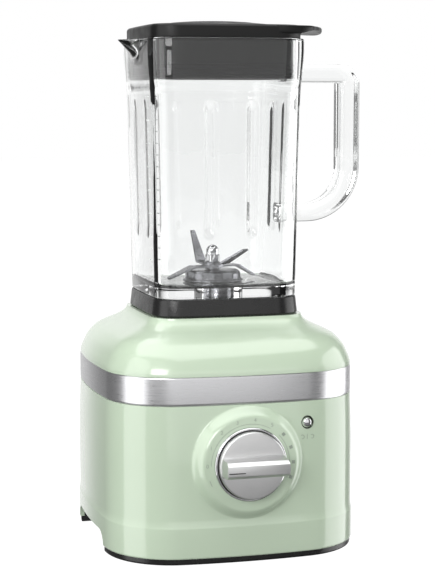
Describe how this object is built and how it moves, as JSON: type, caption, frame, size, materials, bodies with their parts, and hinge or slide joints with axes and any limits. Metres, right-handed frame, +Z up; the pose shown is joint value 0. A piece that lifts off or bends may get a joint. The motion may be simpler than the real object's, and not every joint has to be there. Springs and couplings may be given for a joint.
{
  "type": "countertop blender",
  "caption": "Countertop blender: bowed-square motor base with dial and start button, tall square glass jar with handle, black collar, blade unit and lid with measuring cap.",
  "frame": {"origin": "centre of the base's footprint on the surface it stands on", "axes": "+Z up; the dial and button face -Y; the jar's handle points to +X and its spout to -X"},
  "size_m": [0.2272, 0.2438, 0.416],
  "materials": {
    "painted_steel": "gloss enamel",
    "brushed_trim": "brushed along the band",
    "black_plastic": "fine moulded grain",
    "lid_plastic": "satin moulded",
    "rubber": "matt",
    "chrome": "polished",
    "knob_metal": "satin",
    "steel": "ground",
    "copper": "enamelled wire",
    "bronze": "sintered bronze",
    "laminations": "stacked laminations",
    "die_cast": "die cast",
    "board": "lacquered board",
    "glass": "pressed clear glass",
    "carbon": "pressed carbon"
  },
  "bodies": {
    "base": {"lower_housing": "painted_steel", "upper_housing": "painted_steel", "trim_band": "brushed_trim", "bottom_pan": "black_plastic", "foot_plate_front": "black_plastic", "foot_plate_rear": "black_plastic", "rubber_feet": "rubber", "bottom_screws": "steel", "housing_screws": "steel", "cord_gland": "black_plastic", "jar_seat": "rubber", "motor_stator": "laminations", "field_coils": "copper", "motor_bracket_lower": "die_cast", "motor_bracket_upper": "die_cast", "lower_bearing": "bronze", "upper_bearing": "bronze", "brush_holders": "bronze", "carbon_brushes": "carbon", "brush_springs": "steel", "motor_mounts": "rubber", "motor_screws": "steel", "motor_bolts": "steel", "fan_shroud": "black_plastic", "control_board": "board", "board_components": "black_plastic", "board_screws": "steel", "dial_encoder": "black_plastic", "start_switch": "black_plastic", "dial_bezel": "chrome", "button_bezel": "chrome", "button_spring": "steel"},
    "rotor": {"motor_shaft": "steel", "armature_core": "laminations", "armature_windings": "copper", "commutator": "copper", "cooling_fan": "black_plastic", "drive_coupler": "black_plastic"},
    "dial": {"dial_knob": "knob_metal", "dial_shaft": "steel", "dial_pointer": "black_plastic"},
    "button": {"start_button": "chrome", "button_plunger": "black_plastic"},
    "jar": {"jar_glass": "glass", "jar_handle": "glass", "jar_collar": "black_plastic", "blade_housing": "steel", "blade_bearings": "bronze", "shaft_seal": "rubber", "jar_gasket": "rubber", "retaining_nut": "black_plastic"},
    "blades": {"blade_upper": "steel", "blade_lower": "steel", "blade_shaft": "steel", "acorn_nut": "steel", "blade_washers": "steel", "jar_coupler": "black_plastic"},
    "lid": {"lid_cover": "lid_plastic", "lid_seal": "rubber"},
    "cap": {"measuring_cap": "lid_plastic"}
  },
  "joints": [
    {"name": "rotor_spin", "type": "hinge", "parent": "base", "child": "rotor", "pos_m": [0, 0, 0.09], "axis": [0, 0, 1], "continuous": true},
    {"name": "dial_turn", "type": "hinge", "parent": "base", "child": "dial", "pos_m": [0, -0.12, 0.0785], "axis": [0, 1, 0], "range_deg": [-22.5, 200]},
    {"name": "button_press", "type": "slide", "parent": "base", "child": "button", "axis": [0, 1, 0], "range_m": [0, 0.0015], "stiffness_N_per_m": 300, "springref_m": -0.002, "deforming": ["button_spring"]},
    {"name": "jar_lift", "type": "slide", "parent": "base", "child": "jar", "axis": [0, 0, 1], "range_m": [0, 0.06]},
    {"name": "blade_spin", "type": "hinge", "parent": "jar", "child": "blades", "pos_m": [0, 0, 0.21], "axis": [0, 0, 1], "continuous": true},
    {"name": "lid_lift", "type": "slide", "parent": "jar", "child": "lid", "axis": [0, 0, 1], "range_m": [0, 0.06]},
    {"name": "cap_lift", "type": "slide", "parent": "lid", "child": "cap", "axis": [0, 0, 1], "range_m": [0, 0.045]}
  ],
  "couplings": [
    {"joint": "blade_spin", "follows": "rotor_spin", "ratio": 1}
  ]
}
